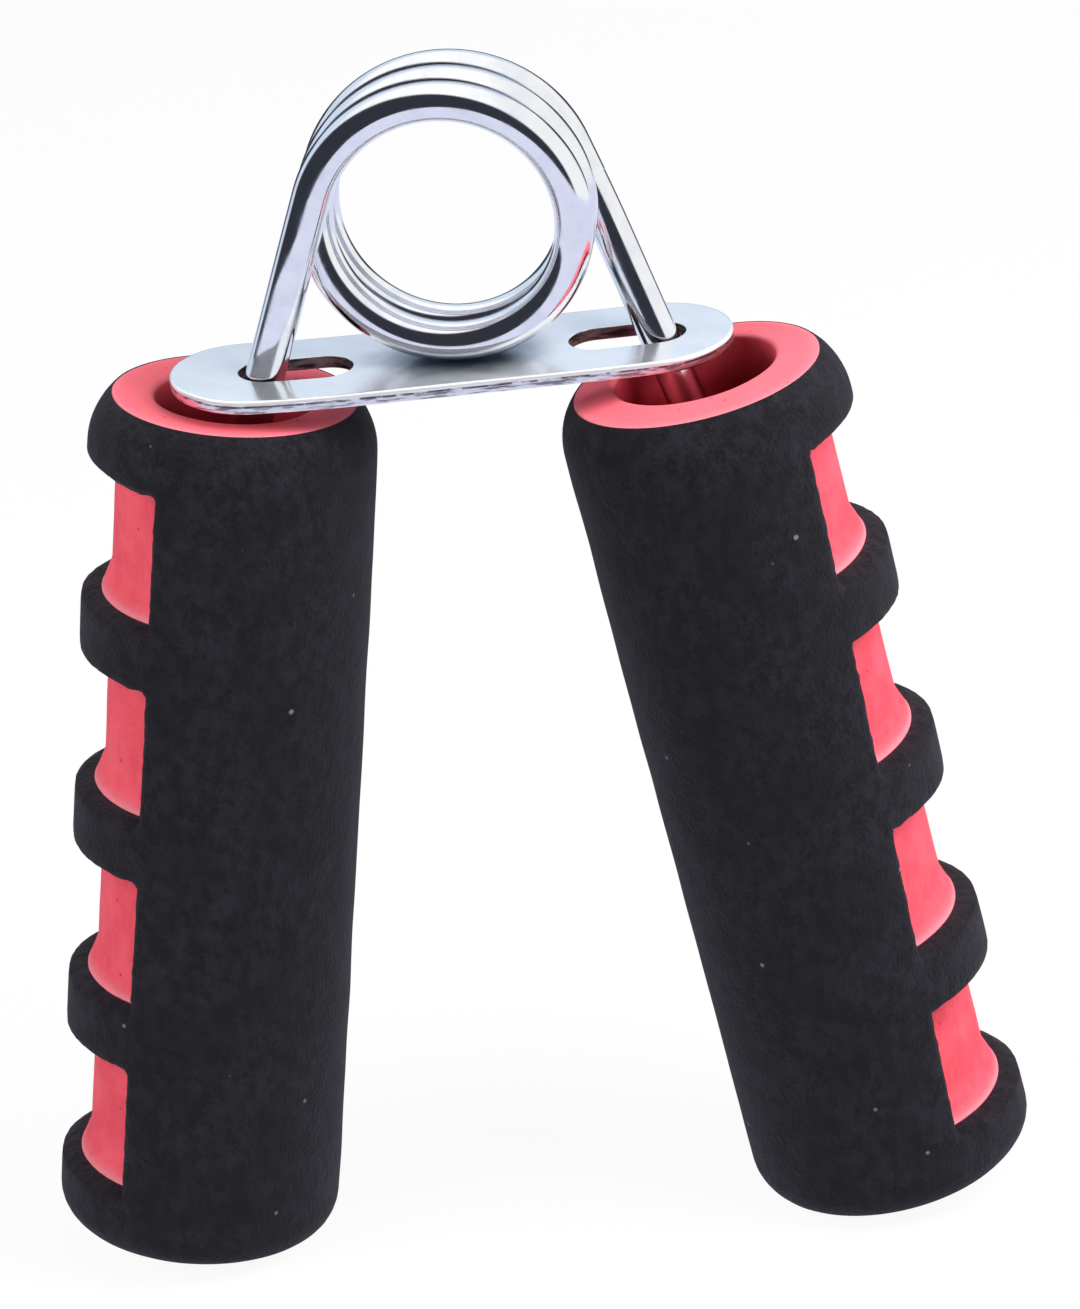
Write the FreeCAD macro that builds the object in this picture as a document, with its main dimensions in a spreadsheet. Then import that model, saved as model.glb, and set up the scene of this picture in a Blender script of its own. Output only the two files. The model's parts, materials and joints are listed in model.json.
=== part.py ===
import FreeCAD, Part
import os
from math import acos, asin, cos, pi, radians, sin, tan

import Sketcher

# A hand grip strengthener: one steel wire wound into a torsion spring whose two
# straight legs pass through a slotted guide plate into two foam covered grips.
#
# The object stands upright. +Z is up, Y is the coil's own axis and X runs from the
# left grip to the right one. The origin is on the floor, midway between the grips.
# The whole object maps onto itself under half a turn about Z, so every right hand
# piece also serves on the left.

Vec = FreeCAD.Vector
X_AXIS = Vec(1, 0, 0)
Y_AXIS = Vec(0, 1, 0)
Z_AXIS = Vec(0, 0, 1)
# two lengths this close in millimetres are the same
SAME = 1e-6

doc = FreeCAD.newDocument("hand_grip")
dims = doc.addObject("Spreadsheet::Sheet", "dims")

DIMENSIONS = [
    # foam grips, measured along and across their own axis from the top face
    ("grip_length", 104.0),
    ("grip_diameter", 33.0),
    ("seam_diameter", 28.4),
    ("bore_diameter", 18.4),
    ("bottom_rounding", 4.0),
    ("bore_rounding", 0.8),
    # the shoulder's long rounding leads from the top face's seam to the full diameter,
    # and a thin flat is left between it and the seam
    ("shoulder_depth", 6.0),
    ("rim_flat", 0.01),
    # finger windows cut through the outer foam and a little into the inner one, whose
    # floor slopes back out to the seam above each window's lower edge; the cuts start
    # an overcut outside the foam
    ("window_count", 4),
    ("window_start", 8.2),
    ("window_height", 15.8),
    ("window_pitch", 23.8),
    ("window_span", 109.5),
    ("window_floor_diameter", 26.2),
    ("window_slope_height", 3.2),
    ("overcut", 1.0),
    ("foam_turn", 7.2),
    # place of the grips below the coil's axis: they spread in X and, as the coil's two
    # ends do, a little apart in Y
    ("grip_tilt", 8.5),
    ("grip_lean", 2.2),
    ("grip_top_offset", 26.0),
    ("grip_top_drop", 20.5),
    # spring wire
    ("wire_diameter", 4.4),
    ("coil_diameter", 29.2),
    ("coil_pitch", 5.05),
    ("leg_angle", 19.9),
    ("leg_plate_offset", 3.6),
    ("leg_lean_start", 8.0),
    ("leg_lean_radius", 40.0),
    ("leg_joggle_depth", 7.0),
    ("leg_axis_depth", 22.0),
    ("leg_end_depth", 88.0),
    ("leg_bend_radius", 25.0),
    # guide plate
    ("plate_length", 64.0),
    ("plate_width", 18.2),
    ("plate_thickness", 1.5),
    ("plate_drop", 17.1),
    ("plate_turn", 8.0),
    ("plate_edge_rounding", 0.4),
    ("slot_spacing", 37.4),
    ("slot_length", 13.2),
    ("slot_width", 6.4),
    # rigid core pressed into each foam bore
    ("core_diameter", 18.3),
    ("core_top_depth", 26.0),
    ("core_bottom_depth", 103.0),
    ("core_hole_diameter", 4.5),
    ("core_hole_depth", 89.0),
    ("core_funnel", 1.5),
]
for row, (alias, value) in enumerate(DIMENSIONS, start=1):
    dims.set("A%d" % row, str(value))
    dims.setAlias("A%d" % row, alias)
doc.recompute()


def size(alias):
    return float(dims.get(alias))


# derived sizes that several pieces share
wire_radius = size("wire_diameter") / 2
coil_radius = size("coil_diameter") / 2
leg_angle = radians(size("leg_angle"))
# angle between a grip's axis and the upright
grip_slope = acos(cos(radians(size("grip_tilt"))) * cos(radians(size("grip_lean"))))
coil_sweep = 5 * pi - 2 * leg_angle
coil_half_width = size("coil_pitch") * coil_sweep / (2 * pi) / 2

# The grips stand on the lowest point of their rounded bottom rims.
rim_centre_radius = size("grip_diameter") / 2 - size("bottom_rounding")
rim_centre_depth = size("grip_length") - size("bottom_rounding")
coil_height = (size("grip_top_drop") + rim_centre_depth * cos(grip_slope)
               + rim_centre_radius * sin(grip_slope) + size("bottom_rounding"))
coil_centre = Vec(0, 0, coil_height)


# placements

def turned(point, half_turns):
    """Turn a point by half turns about Z: 0 keeps it right, 1 brings it left."""
    return FreeCAD.Rotation(Z_AXIS, 180 * half_turns).multVec(point)


def grip_placement(half_turns, turn=0.0):
    """Frame of a grip: its top face centre, its axis running down along local -Z."""
    top = Vec(size("grip_top_offset"), 0, coil_height - size("grip_top_drop"))
    rotation = FreeCAD.Rotation(Z_AXIS, 180 * half_turns)
    rotation = rotation.multiply(FreeCAD.Rotation(Y_AXIS, -size("grip_tilt")))
    rotation = rotation.multiply(FreeCAD.Rotation(X_AXIS, size("grip_lean")))
    rotation = rotation.multiply(FreeCAD.Rotation(Z_AXIS, turn))
    return FreeCAD.Placement(turned(top, half_turns), rotation)


# sketch and feature helpers

def new_body(label):
    body = doc.addObject("PartDesign::Body", label)
    body.Label = label
    return body


def new_sketch(body, name, role):
    """A sketch on one of the body's own origin planes."""
    support = next(f for f in body.Origin.OriginFeatures if f.Role == role)
    sketch = body.newObject("Sketcher::SketchObject", name)
    sketch.AttachmentSupport = [(support, "")]
    sketch.MapMode = "FlatFace"
    return sketch


def bind(sketch, constraint, name, expression):
    """Add a dimensional constraint and drive it from the sheet."""
    index = sketch.addConstraint(constraint)
    sketch.renameConstraint(index, name)
    sketch.setExpression("Constraints." + name, expression)


def circle_sketch(body, name, alias):
    """A circle about the grip's axis, its diameter taken from the sheet."""
    sketch = new_sketch(body, name, "XY_Plane")
    circle = sketch.addGeometry(Part.Circle(Vec(0, 0, 0), Z_AXIS, size(alias) / 2))
    sketch.addConstraint(Sketcher.Constraint("Coincident", circle, 3, -1, 1))
    bind(sketch, Sketcher.Constraint("Diameter", circle, size(alias)), "across", "dims." + alias)
    return sketch


def polygon_sketch(body, name, corners):
    """A closed outline in the XZ plane; each corner is a pair of sheet expressions."""
    sketch = new_sketch(body, name, "XZ_Plane")
    places = [(dims.evalExpression(across), dims.evalExpression(along))
              for across, along in corners]
    count = len(places)
    for i in range(count):
        start = Vec(*places[i], 0)
        end = Vec(*places[(i + 1) % count], 0)
        sketch.addGeometry(Part.LineSegment(start, end))
    for i in range(count):
        sketch.addConstraint(Sketcher.Constraint("Coincident", i, 2, (i + 1) % count, 1))
    for i, (across, along) in enumerate(corners):
        x_rule = Sketcher.Constraint("DistanceX", -1, 1, i, 1, places[i][0])
        z_rule = Sketcher.Constraint("DistanceY", -1, 1, i, 1, places[i][1])
        bind(sketch, x_rule, "across_%d" % i, across)
        bind(sketch, z_rule, "along_%d" % i, along)
    return sketch


def obround(sketch, name, centre, length, width):
    """A slot shape along the sketch's X axis; its three sizes are sheet expressions."""
    middle = dims.evalExpression(centre)
    radius = dims.evalExpression(width) / 2
    reach = dims.evalExpression(length) / 2 - radius
    ends = []
    for side, start in ((1, -pi / 2), (-1, pi / 2)):
        circle = Part.Circle(Vec(middle + side * reach, 0, 0), Z_AXIS, radius)
        ends.append(sketch.addGeometry(Part.ArcOfCircle(circle, start, start + pi)))
    right, left = ends
    sides = []
    for height in (radius, -radius):
        sides.append(sketch.addGeometry(Part.LineSegment(
            Vec(middle + height / radius * reach, height, 0),
            Vec(middle - height / radius * reach, height, 0))))
    upper, lower = sides
    for first, second in ((right, upper), (upper, left), (left, lower), (lower, right)):
        sketch.addConstraint(Sketcher.Constraint("Tangent", first, 2, second, 1))
    sketch.addConstraint(Sketcher.Constraint("Equal", right, left))
    sketch.addConstraint(Sketcher.Constraint("PointOnObject", right, 3, -1))
    sketch.addConstraint(Sketcher.Constraint("PointOnObject", left, 3, -1))
    half_reach = "(%s) / 2 - (%s) / 2" % (length, width)
    bind(sketch, Sketcher.Constraint("Radius", right, radius), name + "_radius",
         "(%s) / 2" % width)
    for arc, side, end in ((right, 1, "right"), (left, -1, "left")):
        rule = Sketcher.Constraint("DistanceX", -1, 1, arc, 3, middle + side * reach)
        bind(sketch, rule, "%s_%s" % (name, end),
             "(%s) + %d * (%s)" % (centre, side, half_reach))


def pad_down(body, sketch, alias):
    """Extrude a sketch down the grip's axis by a length from the sheet."""
    pad = body.newObject("PartDesign::Pad", "Pad")
    pad.Profile = sketch
    pad.Reversed = True
    pad.setExpression("Length", "dims." + alias)
    doc.recompute()
    return pad


def cut_through(body, sketch, name):
    pocket = body.newObject("PartDesign::Pocket", name)
    pocket.Profile = sketch
    pocket.Type = "ThroughAll"
    doc.recompute()
    return pocket


def round_rims(body, feature, name, radius, depth, expression):
    """Round the circular edges of one radius that lie at one depth."""
    edges = ["Edge%d" % (i + 1) for i, edge in enumerate(feature.Shape.Edges)
             if isinstance(edge.Curve, Part.Circle)
             and abs(edge.Curve.Radius - radius) < SAME
             and abs(edge.Curve.Center.z + depth) < SAME]
    fillet = body.newObject("PartDesign::Fillet", name)
    fillet.Base = (feature, edges)
    fillet.setExpression("Radius", expression)
    doc.recompute()
    return fillet


# foam sleeves, each drawn in its grip's own frame

def round_shoulder(body):
    """Cut away the corner outside the long rounding of the top rim."""
    outside = size("grip_diameter") / 2
    inside = size("seam_diameter") / 2 + size("rim_flat")
    clear = outside + size("overcut")
    depth = size("shoulder_depth")
    # radius of the arc that is upright at the full diameter and ends at the seam
    width = outside - inside
    radius = (width ** 2 + depth ** 2) / (2 * width)
    sketch = new_sketch(body, "ShoulderOutline", "XZ_Plane")
    corners = [Vec(inside, 0, 0), Vec(clear, 0, 0), Vec(clear, -depth, 0), Vec(outside, -depth, 0)]
    for start, end in zip(corners, corners[1:]):
        sketch.addGeometry(Part.LineSegment(start, end))
    circle = Part.Circle(Vec(outside - radius, -depth, 0), Z_AXIS, radius)
    sketch.addGeometry(Part.ArcOfCircle(circle, 0, asin(depth / radius)))
    for first, second in ((0, 1), (1, 2), (2, 3), (3, 0)):
        sketch.addConstraint(Sketcher.Constraint("Coincident", first, 2, second, 1))
    for line, rule in ((0, "Horizontal"), (1, "Vertical"), (2, "Horizontal")):
        sketch.addConstraint(Sketcher.Constraint(rule, line))
    sketch.addConstraint(Sketcher.Constraint("PointOnObject", 0, 1, -1))
    # the arc's middle lies level with its lower end
    sketch.addConstraint(Sketcher.Constraint("Horizontal", 3, 3, 3, 1))
    bind(sketch, Sketcher.Constraint("DistanceX", -1, 1, 0, 1, inside), "inside",
         "dims.seam_diameter / 2 + dims.rim_flat")
    bind(sketch, Sketcher.Constraint("DistanceX", -1, 1, 1, 1, clear), "clear",
         "dims.grip_diameter / 2 + dims.overcut")
    bind(sketch, Sketcher.Constraint("DistanceX", -1, 1, 3, 1, outside), "outside",
         "dims.grip_diameter / 2")
    bind(sketch, Sketcher.Constraint("DistanceY", 3, 1, -1, 1, depth), "depth",
         "dims.shoulder_depth")
    whole = body.Shape.Volume
    cut = body.newObject("PartDesign::Groove", "Shoulder")
    cut.Profile = sketch
    cut.ReferenceAxis = (sketch, ["V_Axis"])
    cut.Angle = 360
    doc.recompute()
    print(body.Label, "shoulder takes", round(whole - cut.Shape.Volume, 1), "mm3")
    return cut


def cut_windows(body):
    """Groove the first finger window into a sleeve and repeat it down the column."""
    whole = body.Shape.Volume
    floor = "dims.window_floor_diameter / 2"
    mouth = "dims.grip_diameter / 2 + dims.overcut"
    upper = "-dims.window_start"
    lower = "-dims.window_start - dims.window_height"
    window = polygon_sketch(body, "Window", [
        (floor, upper),
        (mouth, upper),
        (mouth, lower),
        ("dims.seam_diameter / 2", lower),
        (floor, lower + " + dims.window_slope_height"),
    ])
    cut = body.newObject("PartDesign::Groove", "WindowCut")
    cut.Profile = window
    cut.ReferenceAxis = (window, ["V_Axis"])
    cut.Midplane = True
    cut.setExpression("Angle", "dims.window_span")
    doc.recompute()
    one = whole - cut.Shape.Volume
    column = body.newObject("PartDesign::LinearPattern", "WindowColumn")
    column.Originals = [cut]
    column.Direction = (window, ["V_Axis"])
    column.Reversed = True
    column.setExpression("Length", "(dims.window_count - 1) * dims.window_pitch")
    column.setExpression("Occurrences", "dims.window_count")
    body.Tip = column
    doc.recompute()
    taken = (whole - column.Shape.Volume) / one
    print(body.Label, "windows take", round(taken, 3), "times the first window's volume")


def outer_foam(label, half_turns):
    """Outer foam sleeve with a rounded shoulder and foot and a column of finger windows."""
    body = new_body(label)
    outside = size("grip_diameter") / 2
    length = size("grip_length")
    blank = pad_down(body, circle_sketch(body, "Outside", "grip_diameter"), "grip_length")
    round_rims(body, blank, "BottomRim", outside, length, "dims.bottom_rounding")
    round_shoulder(body)
    cut_through(body, circle_sketch(body, "Seam", "seam_diameter"), "InnerFoamSpace")
    cut_windows(body)
    body.Placement = grip_placement(half_turns, size("foam_turn"))
    return body


def inner_foam(label, half_turns):
    """Inner foam sleeve, seen at the top face and at the floor of each window."""
    body = new_body(label)
    length = size("grip_length")
    blank = pad_down(body, circle_sketch(body, "Outside", "grip_diameter"), "grip_length")
    round_rims(body, blank, "BottomRim", size("grip_diameter") / 2, length,
               "dims.bottom_rounding")
    ring = circle_sketch(body, "Seam", "seam_diameter")
    clear = ring.addGeometry(Part.Circle(Vec(0, 0, 0), Z_AXIS, size("grip_diameter")))
    ring.addConstraint(Sketcher.Constraint("Coincident", clear, 3, -1, 1))
    bind(ring, Sketcher.Constraint("Radius", clear, size("grip_diameter")), "clear",
         "dims.grip_diameter")
    cut_through(body, ring, "OuterFoamSpace")
    bored = cut_through(body, circle_sketch(body, "BoreWall", "bore_diameter"), "Bore")
    bore = size("bore_diameter") / 2
    mouth = round_rims(body, bored, "Mouth", bore, 0, "dims.bore_rounding")
    round_rims(body, mouth, "Foot", bore, length, "dims.bore_rounding")
    cut_windows(body)
    body.Placement = grip_placement(half_turns, size("foam_turn"))
    return body


def grip_core(label, half_turns):
    """Rigid core that fills the bore below the mouth and takes the wire's end."""
    body = new_body(label)
    hole = "dims.core_hole_diameter / 2"
    outside = "dims.core_diameter / 2"
    top = "-dims.core_top_depth"
    outline = polygon_sketch(body, "Outline", [
        (hole + " + dims.core_funnel", top),
        (outside, top),
        (outside, "-dims.core_bottom_depth"),
        ("0 * dims.core_diameter", "-dims.core_bottom_depth"),
        ("0 * dims.core_diameter", "-dims.core_hole_depth"),
        (hole, "-dims.core_hole_depth"),
        (hole, top + " - dims.core_funnel"),
    ])
    turned_core = body.newObject("PartDesign::Revolution", "TurnedCore")
    turned_core.Profile = outline
    turned_core.ReferenceAxis = (outline, ["V_Axis"])
    turned_core.Angle = 360
    doc.recompute()
    body.Placement = grip_placement(half_turns)
    return body


def guide_plate():
    """Flat steel plate with two slots that the wire's legs slide along."""
    body = new_body("guide_plate")
    outline = new_sketch(body, "Outline", "XY_Plane")
    centre = "0 * dims.slot_spacing"
    obround(outline, "edge", centre, "dims.plate_length", "dims.plate_width")
    for name, side in (("right_slot", 1), ("left_slot", -1)):
        obround(outline, name, "%d * dims.slot_spacing / 2" % side,
                "dims.slot_length", "dims.slot_width")
    sheet_metal = pad_down(body, outline, "plate_thickness")
    rim = ["Edge%d" % (i + 1) for i, edge in enumerate(sheet_metal.Shape.Edges)
           if abs(edge.BoundBox.ZMin) < SAME and abs(edge.BoundBox.ZMax) < SAME]
    rounded = body.newObject("PartDesign::Fillet", "RolledEdge")
    rounded.Base = (sheet_metal, rim)
    rounded.setExpression("Radius", "dims.plate_edge_rounding")
    doc.recompute()
    body.Placement = FreeCAD.Placement(coil_centre - Vec(0, 0, size("plate_drop")),
                                       FreeCAD.Rotation(Z_AXIS, size("plate_turn")))
    return body


# spring wire: the coil's route by its turns, the legs' routes by their bends

def arc_middle(start, start_way, end):
    """Middle point of the circular arc that leaves start along start_way and meets end."""
    chord = end - start
    side = chord - start_way * start_way.dot(chord)
    radius = chord.Length ** 2 / (2 * side.Length)
    centre = start + side.normalize() * radius
    outward = (start + end) * 0.5 - centre
    return centre + outward.normalize() * radius


def biarc(start, start_way, end, end_way):
    """Two arcs that leave start and reach end along the given unit directions."""
    chord = end - start
    spread = 2 * (1 - start_way.dot(end_way))
    along = chord.dot(start_way + end_way)
    reach = ((along ** 2 + spread * chord.dot(chord)) ** 0.5 - along) / spread
    joint = (start + start_way * reach + end - end_way * reach) * 0.5
    first = Part.Arc(start, arc_middle(start, start_way, joint), joint)
    second = Part.Arc(joint, arc_middle(end, end_way * -1, joint), end)
    return [first.toShape(), second.toShape()]


def coil_point(swept):
    """Centre of the wire after so many radians, front left to back right."""
    angle = pi - leg_angle - swept
    return coil_centre + Vec(coil_radius * cos(angle),
                             size("coil_pitch") * swept / (2 * pi) - coil_half_width,
                             coil_radius * sin(angle))


def coil_way(swept):
    angle = pi - leg_angle - swept
    way = Vec(coil_radius * sin(angle), size("coil_pitch") / (2 * pi),
              -coil_radius * cos(angle))
    return way.normalize()


def coil_route():
    """Straight stub, quarter turns of the coil on biarcs, straight stub."""
    up_leg = Vec(sin(leg_angle), 0, cos(leg_angle))
    down_leg = Vec(sin(leg_angle), 0, -cos(leg_angle))
    to_top = pi / 2 - leg_angle
    whole_quarters = round((coil_sweep - 2 * to_top) / (pi / 2))
    stations = [0.0] + [to_top + i * pi / 2 for i in range(whole_quarters + 1)] + [coil_sweep]
    ways = [up_leg] + [coil_way(s) for s in stations[1:-1]] + [down_leg]
    places = [coil_point(s) for s in stations]
    stub = size("wire_diameter")
    edges = [Part.LineSegment(places[0] - up_leg * stub, places[0]).toShape()]
    for i in range(len(stations) - 1):
        edges += biarc(places[i], ways[i], places[i + 1], ways[i + 1])
    edges.append(Part.LineSegment(places[-1], places[-1] + down_leg * stub).toShape())
    return edges


def bent_route(corners, radii):
    """Straight runs through the corners, joined by tangent arcs of the given radii."""
    edges = []
    start = corners[0]
    for before, corner, after, radius in zip(corners, corners[1:], corners[2:], radii):
        way_in = (corner - before).normalize()
        way_out = (after - corner).normalize()
        reach = radius * tan(way_in.getAngle(way_out) / 2)
        arc_start = corner - way_in * reach
        arc_end = corner + way_out * reach
        edges.append(Part.LineSegment(start, arc_start).toShape())
        middle = arc_middle(arc_start, way_in, arc_end)
        edges.append(Part.Arc(arc_start, middle, arc_end).toShape())
        start = arc_end
    edges.append(Part.LineSegment(start, corners[-1]).toShape())
    return edges


def leg_route(half_turns):
    """From the coil's stub through the plate's slot to its end in the grip's core."""
    leave = coil_point(coil_sweep)
    down = Vec(sin(leg_angle), 0, -cos(leg_angle))
    lean_start = leave + down * size("leg_lean_start")
    # middle of the plate's thickness, where the leg crosses it
    drop = coil_radius * sin(leg_angle) + size("plate_drop") + size("plate_thickness") / 2
    at_plate = leave + down * (drop / cos(leg_angle))
    at_plate.y = size("leg_plate_offset")
    lean = (at_plate - lean_start).normalize()
    # the grip's frame: depth runs down its axis from its top face
    top = grip_placement(0).Base
    axis = grip_placement(0).Rotation.multVec(Z_AXIS * -1)
    run = (size("leg_joggle_depth") - (at_plate - top).dot(axis)) / lean.dot(axis)
    joggle = at_plate + lean * run
    corners = [leave + down * size("wire_diameter"), lean_start, joggle,
               top + axis * size("leg_axis_depth"), top + axis * size("leg_end_depth")]
    radii = [size("leg_lean_radius"), size("leg_bend_radius"), size("leg_bend_radius")]
    return bent_route([turned(c, half_turns) for c in corners], radii)


def wire_along(label, edges):
    """A round wire swept along a smooth route."""
    route = Part.Wire(edges)
    start = edges[0].valueAt(edges[0].FirstParameter)
    way = edges[0].tangentAt(edges[0].FirstParameter)
    section = Part.Wire(Part.makeCircle(wire_radius, start, way))
    wire = doc.addObject("Part::Feature", label)
    wire.Label = label
    wire.Shape = route.makePipeShell([section], True, False)
    expected = pi * wire_radius ** 2 * route.Length
    print(label, "volume over section times length", round(wire.Shape.Volume / expected, 4))
    return wire


def points_along(edges, backwards=False):
    """Centre points of the wire in walking order, half a millimetre apart."""
    step = 0.5
    points = []
    for edge in reversed(edges) if backwards else edges:
        stretch = edge.discretize(max(2, int(edge.Length / step)))
        points += reversed(stretch) if backwards else stretch
    return points


def least_gap(points):
    """Least space between two stretches of the wire over half a turn apart."""
    walked = [0.0]
    for before, point in zip(points, points[1:]):
        walked.append(walked[-1] + before.distanceToPoint(point))
    apart = pi * coil_radius
    least = min(points[i].distanceToPoint(points[j])
                for i in range(len(points)) for j in range(i + 1, len(points))
                if walked[j] - walked[i] > apart)
    return least - 2 * wire_radius


guide_plate()
for side, half_turns in (("right", 0), ("left", 1)):
    outer_foam(side + "_outer_foam", half_turns)
    inner_foam(side + "_inner_foam", half_turns)
    grip_core(side + "_core", half_turns)

coil_edges = coil_route()
right_edges = leg_route(0)
left_edges = leg_route(1)
wire_along("spring_coil", coil_edges)
wire_along("right_leg", right_edges)
wire_along("left_leg", left_edges)

# from the left leg's end up through the coil and down to the right leg's end
whole_wire = points_along(left_edges, True) + points_along(coil_edges) + points_along(right_edges)
print("least gap of the wire to itself", round(least_gap(whole_wire), 3))
print("coil axis height", round(coil_height, 3))

doc.recompute()
failed = [item.Name for item in doc.Objects
          if "Invalid" in item.State or "Error" in item.State]
if failed:
    raise RuntimeError("failed objects: " + ", ".join(failed))

pieces = [item for item in doc.Objects
          if item.TypeId in ("PartDesign::Body", "Part::Feature")]
for piece in pieces:
    if piece.Shape.isNull() or not piece.Shape.isValid():
        raise RuntimeError("bad shape: " + piece.Label)
os.makedirs("parts", exist_ok=True)
for piece in pieces:
    piece.Shape.exportStep("parts/" + piece.Label + ".step")
    print(piece.Label, "solids", len(piece.Shape.Solids), "volume", round(piece.Shape.Volume, 1))
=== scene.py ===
import json
from math import acos, asin, atan2, cos, degrees, hypot, pi, radians, sin, sqrt, tan

import bmesh
import bpy
from mathutils import Matrix, Vector, noise


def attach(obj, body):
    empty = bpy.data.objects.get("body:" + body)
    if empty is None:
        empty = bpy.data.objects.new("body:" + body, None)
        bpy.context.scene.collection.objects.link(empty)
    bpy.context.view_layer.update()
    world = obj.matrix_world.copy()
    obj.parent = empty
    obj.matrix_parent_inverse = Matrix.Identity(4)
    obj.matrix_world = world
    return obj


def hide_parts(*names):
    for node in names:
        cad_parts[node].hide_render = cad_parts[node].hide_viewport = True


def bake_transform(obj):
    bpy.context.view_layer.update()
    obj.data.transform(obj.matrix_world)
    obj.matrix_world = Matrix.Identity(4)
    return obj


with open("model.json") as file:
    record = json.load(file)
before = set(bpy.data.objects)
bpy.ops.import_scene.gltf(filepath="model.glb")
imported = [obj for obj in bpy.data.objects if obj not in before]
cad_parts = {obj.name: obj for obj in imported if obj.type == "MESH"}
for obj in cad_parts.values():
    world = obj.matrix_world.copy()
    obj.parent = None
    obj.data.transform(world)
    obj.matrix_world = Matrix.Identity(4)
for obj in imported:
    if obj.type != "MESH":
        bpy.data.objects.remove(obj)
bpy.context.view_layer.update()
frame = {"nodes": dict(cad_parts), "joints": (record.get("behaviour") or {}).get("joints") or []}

# Sizes are metres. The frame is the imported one: floor at z 0, coil axis along Y,
# left grip on the -X side. The whole object maps onto itself by half a turn about Z.
MM = 0.001
COIL_CENTRE = Vector(next(j for j in frame["joints"] if j["name"] == "right_squeeze")["pos_m"])
# each side and how many half turns about Z bring the right one there
SIDES = (("right", 0), ("left", 1))

# foam grips, measured from the top face down their own axis
GRIP_LENGTH = 104.0 * MM
GRIP_RADIUS = 16.5 * MM
SEAM_RADIUS = 14.2 * MM
BORE_RADIUS = 9.2 * MM
# the shoulder's arc is upright at the full radius and ends at the seam
SHOULDER_WIDTH = 2.29 * MM
SHOULDER_DEPTH = 6.0 * MM
SHOULDER_RADIUS = (SHOULDER_WIDTH ** 2 + SHOULDER_DEPTH ** 2) / (2 * SHOULDER_WIDTH)
BOTTOM_ROUNDING = 4.0 * MM
# where the seam cuts the arc at the bottom, in degrees
BOTTOM_SEAM_TURN = degrees(-acos((SEAM_RADIUS - GRIP_RADIUS + BOTTOM_ROUNDING) / BOTTOM_ROUNDING))
BORE_ROUNDING = 0.8 * MM
EDGE_ROUNDING = 0.3 * MM
GRIP_TILT = radians(8.5)
GRIP_LEAN = radians(2.2)
GRIP_TOP_OFFSET = 26.0 * MM
GRIP_TOP_DROP = 20.5 * MM
FOAM_TURN = radians(7.2)

# finger windows
WINDOW_COUNT = 4
WINDOW_START = 8.2 * MM
WINDOW_HEIGHT = 15.8 * MM
WINDOW_PITCH = 23.8 * MM
WINDOW_SPAN = radians(109.5)
# the red floor of a window is sunk under the seam and slopes back out to it at the foot
WINDOW_FLOOR_RADIUS = 13.1 * MM
WINDOW_SLOPE_HEIGHT = 3.2 * MM
# one step is 1.5 degrees, so a window takes 73 of them
LATHE_STEPS = 240
ROW_HEIGHT = 0.9 * MM

# spring wire: each leg leaves the coil on a short straight stub, leans in towards the
# plate's long middle line, and bends onto its grip's axis inside the mouth
WIRE_RADIUS = 2.2 * MM
COIL_RADIUS = 14.6 * MM
COIL_PITCH = 5.05 * MM
STUB_LENGTH = 2 * WIRE_RADIUS
LEG_ANGLE = radians(19.9)
LEG_PLATE_OFFSET = 3.6 * MM
LEG_LEAN_START = 8.0 * MM
LEG_LEAN_RADIUS = 40.0 * MM
LEG_BEND_RADIUS = 25.0 * MM
LEG_JOGGLE_DEPTH = 7.0 * MM
LEG_AXIS_DEPTH = 22.0 * MM
LEG_END_DEPTH = 88.0 * MM
COIL_SWEEP = 5 * pi - 2 * LEG_ANGLE
COIL_HALF_WIDTH = COIL_PITCH * COIL_SWEEP / (2 * pi) / 2

# guide plate
PLATE_LENGTH = 64.0 * MM
PLATE_WIDTH = 18.2 * MM
PLATE_THICKNESS = 1.5 * MM
PLATE_DROP = 17.1 * MM
PLATE_TURN = radians(8.0)
SLOT_SPACING = 37.4 * MM
SLOT_LENGTH = 13.2 * MM
SLOT_WIDTH = 6.4 * MM


# placements

def side_turn(half_turns):
    return Matrix.Rotation(pi * half_turns, 4, "Z")


def grip_matrix(half_turns, turn=0.0):
    """From a grip's own frame (top face centre, axis down -Z) to the object's frame."""
    top = Vector((GRIP_TOP_OFFSET, 0, COIL_CENTRE.z - GRIP_TOP_DROP))
    return (side_turn(half_turns) @ Matrix.Translation(top)
            @ Matrix.Rotation(-GRIP_TILT, 4, "Y") @ Matrix.Rotation(GRIP_LEAN, 4, "X")
            @ Matrix.Rotation(turn, 4, "Z"))


# materials

class Value:
    """What one output socket carries, so that sums read as sums."""

    def __init__(self, nodes, socket):
        self.nodes = nodes
        self.socket = socket

    def sum(self, operation, first, second):
        return self.nodes.node("ShaderNodeMath", {"operation": operation}, {0: first, 1: second})

    def __add__(self, other):
        return self.sum("ADD", self, other)

    def __sub__(self, other):
        return self.sum("SUBTRACT", self, other)

    def __rsub__(self, other):
        return self.sum("SUBTRACT", other, self)

    def __mul__(self, other):
        return self.sum("MULTIPLY", self, other)

    __radd__ = __add__
    __rmul__ = __mul__

    def parts(self):
        """The three numbers of a vector."""
        split = self.nodes.node("ShaderNodeSeparateXYZ", {}, {0: self})
        return [Value(self.nodes, socket) for socket in split.socket.node.outputs]


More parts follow.
